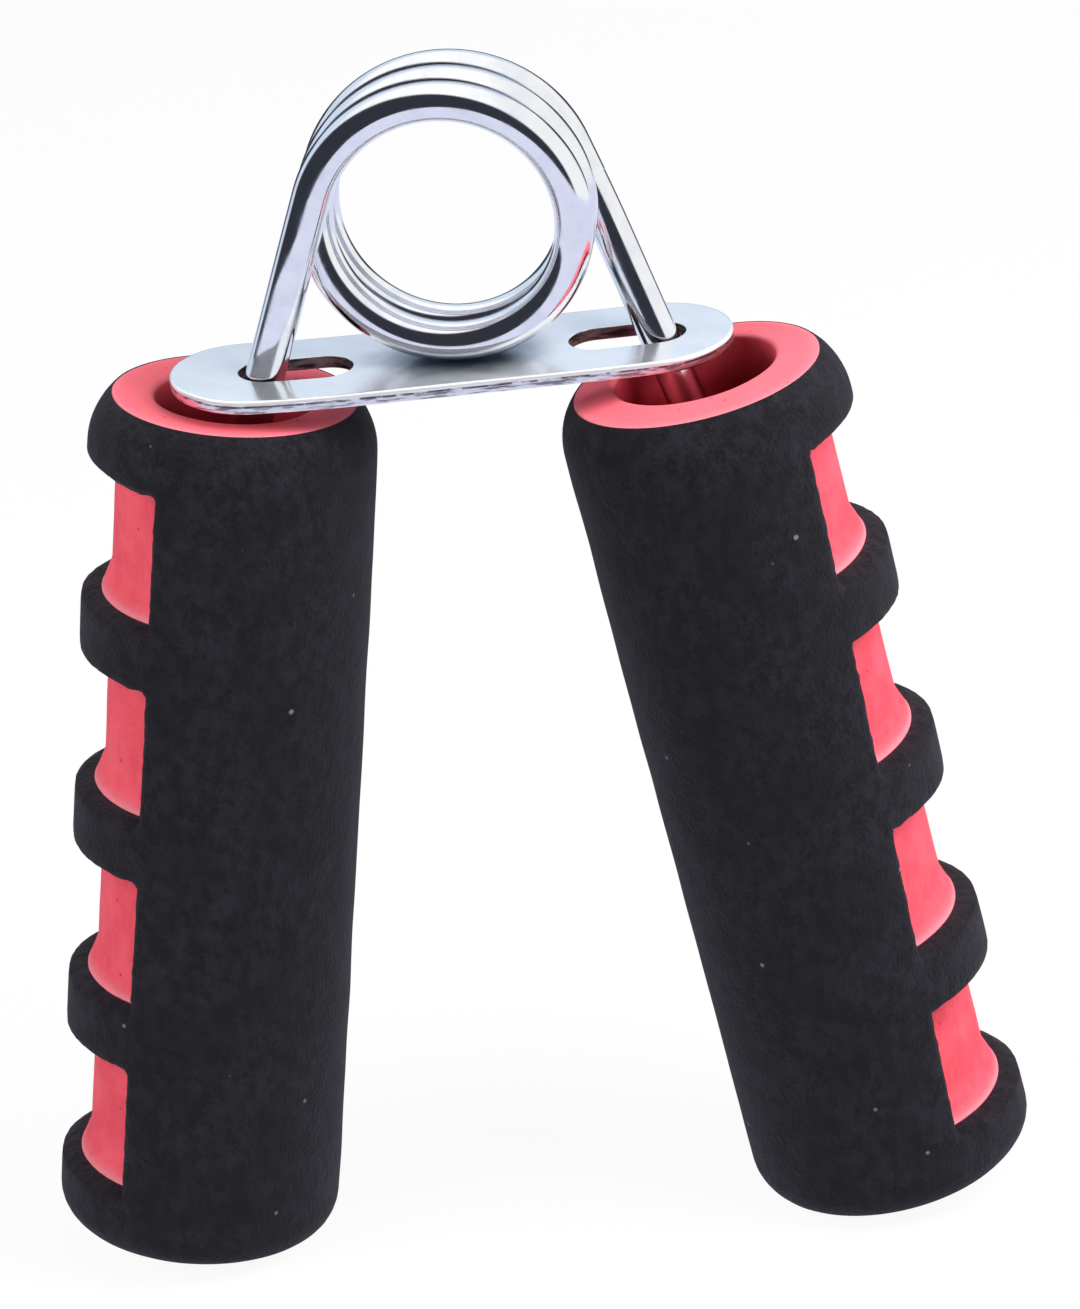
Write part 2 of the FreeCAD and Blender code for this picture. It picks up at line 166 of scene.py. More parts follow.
class Nodes:
    """A node tree, made node by node."""

    def __init__(self, tree):
        self.tree = tree

    def node(self, kind, settings, inputs, output=0):
        made = self.tree.nodes.new(kind)
        for name, value in settings.items():
            setattr(made, name, value)
        for name, value in inputs.items():
            if isinstance(value, Value):
                self.tree.links.new(value.socket, made.inputs[name])
            else:
                made.inputs[name].default_value = value
        return Value(self, made.outputs[output])

    def ray(self, kind):
        """1 for one kind of ray, such as Camera, and 0 for the others."""
        return self.node("ShaderNodeLightPath", {}, {}, "Is %s Ray" % kind)

    def spread(self, value, low, high, new_low=0.0, new_high=1.0):
        """Turn the stretch low to high of a value into a new one, with soft ends."""
        return self.node("ShaderNodeMapRange", {"interpolation_type": "SMOOTHSTEP"}, {
            "Value": value, "From Min": low, "From Max": high,
            "To Min": new_low, "To Max": new_high})

    def blend(self, share, first, second):
        """Mix two colours."""
        return self.node("ShaderNodeMix", {"data_type": "RGBA"},
                         {0: share, 6: first, 7: second}, 2)


class Finish(Nodes):
    """One procedural material."""

    def __init__(self, name, **constants):
        self.material = bpy.data.materials.new(name)
        self.material.use_nodes = True
        super().__init__(self.material.node_tree)
        self.surface = self.tree.nodes["Principled BSDF"]
        for socket, value in constants.items():
            self.surface.inputs[socket.replace("_", " ")].default_value = value

    def place(self, stretch=(1.0, 1.0, 1.0)):
        """Object coordinates, stretched for a pattern."""
        where = self.node("ShaderNodeTexCoord", {}, {}, "Object")
        return self.node("ShaderNodeMapping", {}, {"Vector": where, "Scale": stretch})

    def speckle(self, size, detail=2.0, roughness=0.6, where=None):
        """Noise whose lumps are about this size, from 0 to 1."""
        return self.node("ShaderNodeTexNoise", {}, {
            "Vector": where or self.place(), "Scale": 1 / size, "Detail": detail,
            "Roughness": roughness}, "Fac")

    def cells(self, size):
        """How far it is to the nearest of many scattered points about this far apart."""
        return self.node("ShaderNodeTexVoronoi", {}, {
            "Vector": self.place(), "Scale": 1 / size}, "Distance")

    def attribute(self, name):
        """What the piece's own mesh says at each point."""
        return self.node("ShaderNodeAttribute", {"attribute_name": name}, {}, "Fac")

    def relief(self, height, depth, strength=1.0):
        """Bump the surface by height, up to depth metres deep."""
        bump = self.node("ShaderNodeBump", {}, {"Height": height, "Distance": depth,
                                                "Strength": strength})
        self.to("Normal", bump)

    def to(self, socket, value):
        self.tree.links.new(value.socket, self.surface.inputs[socket])


def shade(red, green, blue):
    """A colour given as it shows on a screen, 0 to 255, made linear."""
    def linear(level):
        level /= 255
        return level / 12.92 if level <= 0.04045 else ((level + 0.055) / 1.055) ** 2.4
    return (linear(red), linear(green), linear(blue), 1.0)


def black_foam_finish():
    """Fine pored skin, mottled and a little dusty."""
    foam = Finish("black_foam", Specular_IOR_Level=0.25, Sheen_Weight=0.06, Sheen_Roughness=0.4,
                  Sheen_Tint=(0.85, 0.85, 1.0, 1.0))
    grain_way = foam.place(stretch=(1.0, 1.0, 0.7))
    blotches = foam.speckle(7 * MM)
    mottle = foam.speckle(1.6 * MM, detail=3.0, roughness=0.65, where=grain_way)
    grain = foam.speckle(0.4 * MM, detail=4.0, roughness=0.75, where=grain_way)
    pores = foam.cells(0.5 * MM)
    base = foam.blend(foam.spread(mottle, 0.34, 0.68), shade(22, 20, 24), shade(39, 37, 43))
    base = foam.blend(foam.spread(grain, 0.4, 0.72, 0.0, 0.5), base, shade(50, 48, 55))
    base = foam.blend(foam.spread(blotches, 0.4, 0.65, 0.0, 0.5), base, shade(26, 24, 28))
    # a few pale crumbs caught in the skin
    crumb = foam.spread(foam.cells(7 * MM), 0.055, 0.03)
    foam.to("Base Color", foam.blend(crumb, base, shade(124, 120, 124)))
    foam.to("Roughness", foam.spread(grain, 0.3, 0.75, 0.7, 0.9))
    foam.relief(grain * 0.7 + mottle * 0.5 + pores * 0.3, 0.26 * MM)
    return foam.material


def red_foam_finish():
    """Clouded foam, drawn lengthwise, with a painted highlight along its cut edges, a flat end
    painted paler for the light from above, and painted shade down the bore.
    """
    foam = Finish("red_foam", Roughness=0.75, Specular_IOR_Level=0.3)
    clouds = foam.speckle(5 * MM)
    grain = foam.speckle(0.5 * MM, detail=3.0, roughness=0.7)
    drawn = foam.speckle(0.8 * MM, where=foam.place(stretch=(1.0, 1.0, 0.12)))
    base = foam.blend(foam.spread(clouds, 0.3, 0.7), shade(240, 82, 98), shade(252, 98, 114))
    base = foam.blend(foam.spread(drawn, 0.5, 0.75, 0.0, 0.25), base, shade(226, 64, 80))
    base = foam.blend(foam.spread(grain, 0.45, 0.75, 0.0, 0.3), base, shade(255, 126, 140))
    # painted light: the flat end is painted paler than the skin in the windows, as the light from
    # above falls on it
    base = foam.blend(foam.attribute("end") * 0.8, base, shade(248, 118, 130))
    # small dark specks
    speck = foam.spread(foam.cells(3.2 * MM), 0.09, 0.05, 0.0, 0.5)
    base = foam.blend(speck, base, shade(140, 26, 42))
    # painted highlight along the cut edges of the windows and of the flat end
    base = foam.blend(foam.attribute("rim") * 0.8, base, shade(255, 168, 180))
    # painted shade down the bore
    base = foam.blend(foam.attribute("bore_shade"), base, shade(140, 8, 18))
    foam.to("Base Color", base)
    foam.to("Roughness", foam.spread(grain, 0.3, 0.75, 0.65, 0.85))
    foam.relief(grain, 0.08 * MM, 0.5)
    return foam.material


def spring_wire_finish():
    """Bright plating, a little uneven where the wire was drawn."""
    wire = Finish("spring_wire", Metallic=1.0)
    drawn = wire.speckle(2.5 * MM)
    fine = wire.speckle(0.3 * MM)
    wire.to("Roughness", wire.spread(drawn, 0.3, 0.7, 0.08, 0.15))
    wire.to("Base Color", wire.blend(wire.spread(drawn, 0.35, 0.75), (0.88, 0.89, 0.92, 1.0),
                                     (0.80, 0.82, 0.87, 1.0)))
    wire.relief(drawn * 0.8 + fine * 0.2, 0.015 * MM, 0.5)
    return wire.material


def plate_finish():
    """Clouded satin plating on the plate's two faces."""
    zinc = Finish("plate_zinc", Metallic=0.8)
    clouds = zinc.speckle(5 * MM)
    fine = zinc.speckle(0.4 * MM)
    base = zinc.blend(zinc.spread(clouds, 0.3, 0.7), (0.80, 0.84, 0.87, 1.0),
                      (0.90, 0.92, 0.94, 1.0))
    # painted shade and reflection of the coil: a dark patch round the plate's middle, under the
    # coil
    from_middle = zinc.node("ShaderNodeVectorMath", {"operation": "LENGTH"},
                            {0: zinc.place(stretch=(1.0, 1.6, 0.0))}, "Value")
    coil_shade = zinc.spread(from_middle + clouds * (4 * MM), 15 * MM, 7 * MM, 0.0, 0.9)
    # painted shade and reflection under the coil
    zinc.to("Base Color", zinc.blend(coil_shade, base, (0.11, 0.16, 0.22, 1.0)))
    zinc.to("Roughness", zinc.spread(clouds, 0.3, 0.7, 0.16, 0.24))
    zinc.relief(clouds * 0.85 + fine * 0.15, 0.02 * MM, 0.5)
    return zinc.material


def sheared_finish():
    """The plate's edge: a rolled rim painted pale as a painted highlight, over a band that is
    drawn along the edge.
    """
    edge = Finish("plate_edge")
    height = edge.attribute("level")
    rolled_highlight = edge.spread(height, 0.62, 0.76)
    along = edge.place(stretch=(0.12, 0.12, 1.0))
    streaks = edge.spread(edge.speckle(0.35 * MM, detail=3.0, where=along), 0.36, 0.52)
    broken = edge.spread(edge.speckle(1.6 * MM), 0.38, 0.52)
    scored = edge.spread(height, 0.44, 0.54) * (1 - edge.spread(height, 0.6, 0.68)) * broken
    base = edge.blend(streaks, (0.34, 0.32, 0.34, 1.0), (0.86, 0.86, 0.89, 1.0))
    base = edge.blend(scored, base, (0.14, 0.12, 0.14, 1.0))
    # painted highlight: the rolled rim is painted near white and half diffuse
    edge.to("Base Color", edge.blend(rolled_highlight, base, (0.93, 0.93, 0.95, 1.0)))
    edge.to("Metallic", 1 - rolled_highlight * 0.5)
    edge.to("Roughness", edge.spread(streaks + rolled_highlight, 0.0, 1.0, 0.45, 0.28))
    edge.relief(streaks, 0.03 * MM, 0.5)
    return edge.material


def slot_wall_finish():
    """The slots' walls, torn by the punch."""
    wall = Finish("slot_wall", Metallic=0.7, Roughness=0.5)
    tears = wall.speckle(0.5 * MM, detail=3.0, where=wall.place(stretch=(0.2, 0.2, 1.0)))
    wall.to("Base Color", wall.blend(wall.spread(tears, 0.38, 0.62), (0.045, 0.032, 0.034, 1.0),
                                     (0.30, 0.25, 0.25, 1.0)))
    wall.relief(tears, 0.08 * MM, 0.8)
    return wall.material


def core_finish():
    """Dull moulded plastic, seen only down a grip's mouth."""
    plastic = Finish("core_plastic", Roughness=0.55)
    mottle = plastic.speckle(1.2 * MM)
    plastic.to("Base Color", plastic.blend(mottle, shade(26, 14, 16), shade(52, 22, 26)))
    plastic.relief(mottle, 0.05 * MM, 0.5)
    return plastic.material


# mesh helpers

SHARP_ANGLE = radians(50)


def add_object(name, data):
    """Put a mesh, a lamp or a camera in the scene."""
    made = bpy.data.objects.new(name, data)
    bpy.context.scene.collection.objects.link(made)
    return made


def finish_piece(bm, name, materials, body):
    """Turn a bmesh into a piece of the object that rides on a body."""
    mesh = bpy.data.meshes.new(name)
    bm.to_mesh(mesh)
    bm.free()
    mesh.polygons.foreach_set("use_smooth", [True] * len(mesh.polygons))
    mesh.set_sharp_from_angle(angle=SHARP_ANGLE)
    for material in materials:
        mesh.materials.append(material)
    piece = add_object(name, mesh)
    if body:
        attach(piece, body)
    return piece


def new_verts(made):
    """The vertices among what an extrusion made."""
    return [item for item in made["geom"] if isinstance(item, bmesh.types.BMVert)]


def arc(centre, radius, start, end, count):
    """Points (across, up) of an arc, from start to end degrees."""
    turns = [radians(start + (end - start) * i / count) for i in range(count + 1)]
    return [(centre[0] + radius * cos(t), centre[1] + radius * sin(t)) for t in turns]


def lathe(profile):
    """Spin a closed profile of (radius, height) points once round Z, from a window's side."""
    bm = bmesh.new()
    verts = [bm.verts.new((radius, 0, height)) for radius, height in profile]
    edges = [bm.edges.new(pair) for pair in zip(verts, verts[1:] + verts[:1])]
    bmesh.ops.rotate(bm, verts=verts, cent=(0, 0, 0),
                     matrix=Matrix.Rotation(WINDOW_SPAN / 2, 3, "Z"))
    bmesh.ops.spin(bm, geom=verts + edges, cent=(0, 0, 0), axis=(0, 0, 1), dvec=(0, 0, 0),
                   angle=2 * pi, steps=LATHE_STEPS, use_merge=True, use_duplicate=False)
    bmesh.ops.recalc_face_normals(bm, faces=bm.faces)
    return bm


# finger windows, in a grip's own frame

def window_limits():
    """Upper and lower height of each window."""
    tops = [-WINDOW_START - i * WINDOW_PITCH for i in range(WINDOW_COUNT)]
    return [(top, top - WINDOW_HEIGHT) for top in tops]


def wall_heights():
    """Heights of the rows down a sleeve's wall, with every window limit among them."""
    stops = [-SHOULDER_DEPTH]
    for top, bottom in window_limits():
        stops += [top, bottom]
    stops.append(-(GRIP_LENGTH - BOTTOM_ROUNDING))
    heights = []
    for above, below in zip(stops, stops[1:]):
        rows = max(1, round((above - below) / ROW_HEIGHT))
        heights += [above + (below - above) * i / rows for i in range(rows)]
    return heights + stops[-1:]


def window_distance(angle, height, radius):
    """How far a point of the wall is from the nearest window: minus inside it."""
    nearest = GRIP_LENGTH
    for top, bottom in window_limits():
        beside = (abs(angle) - WINDOW_SPAN / 2) * radius
        above = max(height - top, bottom - height)
        if beside > 0 and above > 0:
            distance = hypot(beside, above)
        else:
            distance = max(beside, above)
        nearest = min(nearest, distance)
    return nearest


def in_window(point):
    angle = atan2(point.y, point.x)
    return (abs(angle) < WINDOW_SPAN / 2
            and any(bottom < point.z < top for top, bottom in window_limits()))


# foam sleeves

# How each grip's foam sits on its core: its turn at the top and the bottom window, how far
# the far side of its top face sinks, how far its mouth stands proud and how much narrower
# it is at the top. Each grip is seen from the front, so far is +Y on both.
FOAM_SET = {
    "right": {"top_turn": radians(5.6), "low_turn": radians(-3.8), "sunk": 1.25 * MM,
              "proud": 0.8 * MM, "narrow": 0.0},
    "left": {"top_turn": radians(1.9), "low_turn": radians(-0.5), "sunk": 0.65 * MM,
             "proud": 0.0, "narrow": 0.02},
}
# how far down the top's own set reaches, and how fast it dies out
SET_REACH = 12.0 * MM
SET_EASE = 1.5
# how far the left grip's waves are moved from the right one's
SIDE_SEED = Vector((0.0, 20.0, 0.0))


def settle(bm, side, half_turns):
    """Give a grip's foam its own set, and put it in its place on the object."""
    given = FOAM_SET[side]
    first = -WINDOW_START - WINDOW_HEIGHT / 2
    column = (WINDOW_COUNT - 1) * WINDOW_PITCH
    far_way = 1 - 2 * half_turns
    for vert in bm.verts:
        down = (first - vert.co.z) / column
        turn = given["top_turn"] + (given["low_turn"] - given["top_turn"]) * down
        vert.co.rotate(Matrix.Rotation(turn, 3, "Z"))
        near_top = max(0.0, 1 + vert.co.z / SET_REACH) ** SET_EASE
        inward = (SEAM_RADIUS - hypot(vert.co.x, vert.co.y)) / (SEAM_RADIUS - BORE_RADIUS)
        proud = min(1.0, max(0.0, inward)) * given["proud"]
        far = (1 + vert.co.y * far_way / SEAM_RADIUS) / 2
        vert.co.z += near_top * (proud - far * given["sunk"])
        narrow = 1 - near_top * given["narrow"]
        vert.co.x *= narrow
        vert.co.y *= narrow
    bmesh.ops.transform(bm, matrix=grip_matrix(half_turns, FOAM_TURN), verts=bm.verts)


SHOULDER_STEPS = 12
BLACK_BOTTOM_STEPS = 6
# the black sleeve's inner wall lies this far inside the red one, so that no gap shows
SEAM_BITE = 0.15 * MM
# a window's cut edges are looked for this far past its limits
RIM_MARGIN = 1.0 * MM
WINDOW_ROUNDING = 1.3 * MM
# low waves over the whole skin
BLACK_WAVE = 0.10 * MM
BLACK_WAVE_LENGTH = 7.0 * MM
BLACK_SEED = Vector((7.0, 3.0, 1.0))
# small ragged bites along the cut edges
RAG = 0.22 * MM
RAG_LENGTH = 1.1 * MM
RAG_REACH = 1.2 * MM
# unseeded, the bites would start from the clock and differ from run to run
RAG_SEED = 11


def outer_foam(side, half_turns, material):
    """The black sleeve, with its four windows cut right through."""
    seam = SEAM_RADIUS - SEAM_BITE
    top = arc((GRIP_RADIUS - SHOULDER_RADIUS, -SHOULDER_DEPTH), SHOULDER_RADIUS,
              degrees(asin(SHOULDER_DEPTH / SHOULDER_RADIUS)), 0, SHOULDER_STEPS)
    bottom = arc((GRIP_RADIUS - BOTTOM_ROUNDING, BOTTOM_ROUNDING - GRIP_LENGTH),
                 BOTTOM_ROUNDING, 0, BOTTOM_SEAM_TURN, BLACK_BOTTOM_STEPS)
    heights = wall_heights()
    outside = [(GRIP_RADIUS, height) for height in heights[1:-1]]
    inside = [(seam, height) for height in reversed(heights)]
    bm = lathe([(seam, -EDGE_ROUNDING)] + top + outside + bottom + inside)

    within = [face for face in bm.faces if in_window(face.calc_center_median())]
    bmesh.ops.delete(bm, geom=within, context="FACES")
    for upper, lower in window_limits():
        rim = [edge for edge in bm.edges if edge.is_boundary
               and lower - RIM_MARGIN < (edge.verts[0].co.z + edge.verts[1].co.z) / 2
               < upper + RIM_MARGIN]
        bmesh.ops.bridge_loops(bm, edges=rim)
    bmesh.ops.recalc_face_normals(bm, faces=bm.faces)

    noise.seed_set(RAG_SEED)
    seed = BLACK_SEED + SIDE_SEED * half_turns
    for vert in bm.verts:
        if hypot(vert.co.x, vert.co.y) < (seam + GRIP_RADIUS) / 2:
            continue
        angle = atan2(vert.co.y, vert.co.x)
        outward = Vector((cos(angle), sin(angle), 0))
        away = max(0.0, window_distance(angle, vert.co.z, GRIP_RADIUS))
        rest = max(0.0, WINDOW_ROUNDING - away)
        sink = WINDOW_ROUNDING - sqrt(WINDOW_ROUNDING ** 2 - rest ** 2)
        wave = noise.noise(vert.co / BLACK_WAVE_LENGTH + seed) * BLACK_WAVE
        rag = max(0.0, 1 - away / RAG_REACH) * RAG
        torn = noise.noise_vector(vert.co / RAG_LENGTH + seed) * rag
        vert.co += outward * (wave - sink) + torn
    settle(bm, side, half_turns)
    piece = finish_piece(bm, side + "_black_sleeve", [material], side + "_grip")
    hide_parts(side + "_outer_foam")


# rounded corners of the red sleeve
BORE_STEPS = 5
EDGE_STEPS = 3
RED_BOTTOM_STEPS = 4
# rings across the flat top face, and every how many of the wall's rows the bore has one
FACE_RINGS = 4
FACE_RING_STEP = 0.7 * MM
BORE_ROW_STEP = 8
# ledge of red foam left between the black sleeve's cut and the sunk floor
LEDGE = 0.12 * MM
WALL_TOLERANCE = 0.1 * MM
# painted highlights along the rims fade out over these widths, and the mouth's is the fainter one
RIM_HIGHLIGHT_WIDTH = 0.7 * MM
FLOOR_RIM_HIGHLIGHT_WIDTH = 1.1 * MM
MOUTH_RIM_HIGHLIGHT = 0.4
# the flat end reaches down to the first depth, and the painted shade down the bore is at its
# darkest by the second
END_DEPTH = 0.5 * MM
BORE_SHADE_DEPTH = 7.0 * MM
RED_WAVE = 0.06 * MM
RED_WAVE_LENGTH = 5.0 * MM
RED_SEED = Vector((1.0, 9.0, 4.0))


def sink_windows(bm, rim):
    """Cut the window floors into the red sleeve and mark their rims for a painted highlight."""
    floors = [face for face in bm.faces if in_window(face.calc_center_median())
              and hypot(*face.calc_center_median().xy) > SEAM_RADIUS - WALL_TOLERANCE]
    bmesh.ops.inset_region(bm, faces=floors, thickness=LEDGE, depth=0, use_even_offset=True,
                           use_boundary=True)
    # the floors' rims are marked for a painted highlight
    for face in floors:
        for vert in face.verts:
            vert[rim] = 1.0
    made = bmesh.ops.extrude_face_region(bm, geom=floors)
    # the extrusion leaves the first faces under the new floor
    bmesh.ops.delete(bm, geom=floors, context="FACES")
    for vert in new_verts(made):
        angle = atan2(vert.co.y, vert.co.x)
        lower = max(low for _, low in window_limits() if low < vert.co.z)
        rise = min(1.0, (vert.co.z - lower) / WINDOW_SLOPE_HEIGHT)
        radius = SEAM_RADIUS + (WINDOW_FLOOR_RADIUS - SEAM_RADIUS) * rise
        depth = -window_distance(angle, vert.co.z, SEAM_RADIUS)
        # a painted highlight that fades away from the window's edge
        vert[rim] = max(0.0, 1 - depth / FLOOR_RIM_HIGHLIGHT_WIDTH)
        scale = radius / hypot(vert.co.x, vert.co.y)
        vert.co.x *= scale
        vert.co.y *= scale


def inner_foam(side, half_turns, material):
    """The red sleeve, with its window floors, its flat ends and its bore."""
    heights = wall_heights()
    mouth = arc((BORE_RADIUS + BORE_ROUNDING, -BORE_ROUNDING), BORE_ROUNDING, 180, 90,
                BORE_STEPS)
    face = [(BORE_RADIUS + BORE_ROUNDING + i * FACE_RING_STEP, 0)
            for i in range(1, FACE_RINGS + 1)]
    shoulder = arc((SEAM_RADIUS - EDGE_ROUNDING, -EDGE_ROUNDING), EDGE_ROUNDING, 90, 0,
                   EDGE_STEPS)
    outside = [(SEAM_RADIUS, height) for height in heights[:-1]]
    bottom = arc((GRIP_RADIUS - BOTTOM_ROUNDING, BOTTOM_ROUNDING - GRIP_LENGTH),
                 BOTTOM_ROUNDING, BOTTOM_SEAM_TURN, -90, RED_BOTTOM_STEPS)
    foot = arc((BORE_RADIUS + BORE_ROUNDING, BORE_ROUNDING - GRIP_LENGTH), BORE_ROUNDING,
               -90, -180, BORE_STEPS)
    inside = [(BORE_RADIUS, height) for height in reversed(heights[::BORE_ROW_STEP])]
    bm = lathe(mouth + face + shoulder + outside + bottom + foot + inside)
    rim = bm.verts.layers.float.new("rim")
    end = bm.verts.layers.float.new("end")
    bore_shade = bm.verts.layers.float.new("bore_shade")
    sink_windows(bm, rim)
    seed = RED_SEED + SIDE_SEED * half_turns
    for vert in bm.verts:
        radius = hypot(vert.co.x, vert.co.y)
        outward = Vector((vert.co.x, vert.co.y, 0)).normalized()
        if vert.co.z > -END_DEPTH:
            from_edge = min(SEAM_RADIUS - radius, radius - BORE_RADIUS)
            # painted highlight along the flat end's edges
            vert[rim] = max(0.0, 1 - from_edge / RIM_HIGHLIGHT_WIDTH) * MOUTH_RIM_HIGHLIGHT
            # the flat end is marked to be painted paler, as painted light from above
            vert[end] = 1.0
        elif radius < BORE_RADIUS + BORE_ROUNDING:
            # painted shade, deepening down the bore
            vert[bore_shade] = min(1.0, -vert.co.z / BORE_SHADE_DEPTH)
        vert.co += outward * noise.noise(vert.co / RED_WAVE_LENGTH + seed) * RED_WAVE
    settle(bm, side, half_turns)
    piece = finish_piece(bm, side + "_red_sleeve", [material], side + "_grip")
    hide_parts(side + "_inner_foam")


# spring wire

WIRE_SIDES = 40
COIL_STEP = radians(2.5)
BEND_STEP = radians(2.0)
FEWEST_BEND_STEPS = 4
COIL_EASE = radians(30)


def wire_frame(point, way):
    """A matrix that puts a ring round the wire at a point, square to its way."""
    across = (Vector((0, 1, 0)) - way * way.y).normalized()
    other = across.cross(way)
    turn = Matrix((other, across, way)).transposed().to_4x4()
    return Matrix.Translation(point) @ turn


def draw_wire(stations):
    """Draw a ring along the stations, each a point and a way, and close both ends."""
    bm = bmesh.new()
    place = wire_frame(*stations[0])
    bmesh.ops.create_circle(bm, cap_ends=True, radius=WIRE_RADIUS, segments=WIRE_SIDES,
                            matrix=place)
    edges = list(bm.edges)
    for station in stations[1:]:
        made = bmesh.ops.extrude_edge_only(bm, edges=edges)
        verts = new_verts(made)
        edges = [item for item in made["geom"] if isinstance(item, bmesh.types.BMEdge)
                 and all(vert in verts for vert in item.verts)]
        following = wire_frame(*station)
        bmesh.ops.transform(bm, matrix=following @ place.inverted(), verts=verts)
        place = following
    bmesh.ops.edgeloop_fill(bm, edges=edges)
    bmesh.ops.recalc_face_normals(bm, faces=bm.faces)
    return bm


def coil_station(swept):
    """Point and way of the coil's wire after so many radians, front left to back right."""
    angle = pi - LEG_ANGLE - swept
    # the climb eases in and out, so that the wire meets its legs without a kink
    rate = COIL_PITCH / (2 * pi) * COIL_SWEEP / (COIL_SWEEP - COIL_EASE)
    before = min(swept, COIL_EASE)
    after = min(COIL_SWEEP - swept, COIL_EASE)
    eased = (before * before - after * after) / COIL_EASE - before + after
    climbed = rate * (swept + eased / 2 - COIL_SWEEP / 2)
    slope = rate * before * after / COIL_EASE ** 2
    across = Vector((cos(angle), 0, sin(angle)))
    way = Vector((COIL_RADIUS * sin(angle), slope, -COIL_RADIUS * cos(angle)))
    return COIL_CENTRE + across * COIL_RADIUS + Vector((0, climbed, 0)), way.normalized()


def coil_half(side, half_turns, material):
    """From the middle of the coil to the end of its straight stub on one side."""
    half = COIL_SWEEP / 2
    count = round(half / COIL_STEP)
    stations = [coil_station(half + half * i / count) for i in range(count + 1)]
    end, down = stations[-1]
    stations.append((end + down * STUB_LENGTH, down))
    bm = draw_wire(stations)
    bmesh.ops.transform(bm, matrix=side_turn(half_turns), verts=bm.verts)
    piece = finish_piece(bm, side + "_coil_half", [material], None)
    side_y = 1 - 2 * half_turns
    end = COIL_CENTRE + Vector((0, side_y * (COIL_HALF_WIDTH - WIRE_RADIUS), 0))
    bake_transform(piece)
    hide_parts("spring_coil")


def bent_stations(corners, radii):
    """Stations down straight runs joined by arcs."""
    ways = [(b - a).normalized() for a, b in zip(corners, corners[1:])]
    stations = [(corners[0], ways[0])]
    for corner, way_in, way_out, radius in zip(corners[1:], ways, ways[1:], radii):
        bend = way_in.angle(way_out)
        reach = radius * tan(bend / 2)
        steps = max(FEWEST_BEND_STEPS, round(bend / BEND_STEP))
        side = (way_out - way_in * way_in.dot(way_out)).normalized()
        start = corner - way_in * reach
        for i in range(steps + 1):
            turned = bend * i / steps
            point = start + way_in * radius * sin(turned) + side * radius * (1 - cos(turned))
            stations.append((point, way_in * cos(turned) + side * sin(turned)))
    stations.append((corners[-1], ways[-1]))
    return stations


def leg(side, half_turns, material):
    """From the coil's stub through the plate and into the grip's core."""
    leave = COIL_CENTRE + Vector((COIL_RADIUS * cos(LEG_ANGLE), COIL_HALF_WIDTH,
                                  COIL_RADIUS * sin(LEG_ANGLE)))
    down = Vector((sin(LEG_ANGLE), 0, -cos(LEG_ANGLE)))
    drop = COIL_RADIUS * sin(LEG_ANGLE) + PLATE_DROP + PLATE_THICKNESS / 2
    at_plate = leave + down * (drop / cos(LEG_ANGLE))
    at_plate.y = LEG_PLATE_OFFSET
    lean_start = leave + down * LEG_LEAN_START
    lean = (at_plate - lean_start).normalized()
    grip = grip_matrix(0)
    top = grip.translation
    axis = grip.to_3x3() @ Vector((0, 0, -1))
    run = (LEG_JOGGLE_DEPTH - (at_plate - top).dot(axis)) / lean.dot(axis)
    corners = [leave + down * STUB_LENGTH, lean_start, at_plate + lean * run,
               top + axis * LEG_AXIS_DEPTH, top + axis * LEG_END_DEPTH]
    bm = draw_wire(bent_stations(corners, (LEG_LEAN_RADIUS, LEG_BEND_RADIUS, LEG_BEND_RADIUS)))
    bmesh.ops.transform(bm, matrix=side_turn(half_turns), verts=bm.verts)
    piece = finish_piece(bm, side + "_wire_leg", [material], side + "_grip")
    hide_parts(side + "_leg")


# guide plate

# this plate's outline is a little short and sits to the left, its left slot stops short of
# its outer end, and its wings are bent up
OUTLINE_LENGTH = 63.3 * MM
OUTLINE_SHIFT = -1.05 * MM
LEFT_SLOT_CUT = 0.3 * MM
WING_START = 12.0 * MM
LEFT_WING_RISE = 0.9 * MM
RIGHT_WING_RISE = 0.25 * MM
PLATE_EDGE_STEP = 0.35 * MM
WALL_CUTS = 3
# how near the outline a point on the outer edge lies, and how level an edge on a rim is
OUTLINE_TOLERANCE = 0.5 * MM
LEVEL_TOLERANCE = 0.01 * MM
# the outline's upper edge is rolled by the punch, and the others are nearly sharp
ROLLED_ROUNDING = 0.42 * MM
SHARP_ROUNDING = 0.12 * MM
# each rim: its height, whether it is the outline's, its rounding and its steps
PLATE_RIMS = (
    (0, True, ROLLED_ROUNDING, 4),
    (0, False, SHARP_ROUNDING, 2),
    (-PLATE_THICKNESS, True, SHARP_ROUNDING, 2),
    (-PLATE_THICKNESS, False, SHARP_ROUNDING, 2),
)
# a face is flat or upright by how much of its normal points up or down
FLAT = 0.9
UPRIGHT = 0.2
EDGE_MATERIAL = 1
SLOT_WALL_MATERIAL = 2
# the lower part of the edge is torn in and out, between these shares of the thickness
TORN_TOP = 0.45
TORN_FOOT = 0.95
TORN_DEPTH = 0.03 * MM
TORN_LENGTH = 0.6 * MM
TORN_BIAS = 0.3
# on the long sides the tears go straight in and out
TORN_ALONG = 0.1


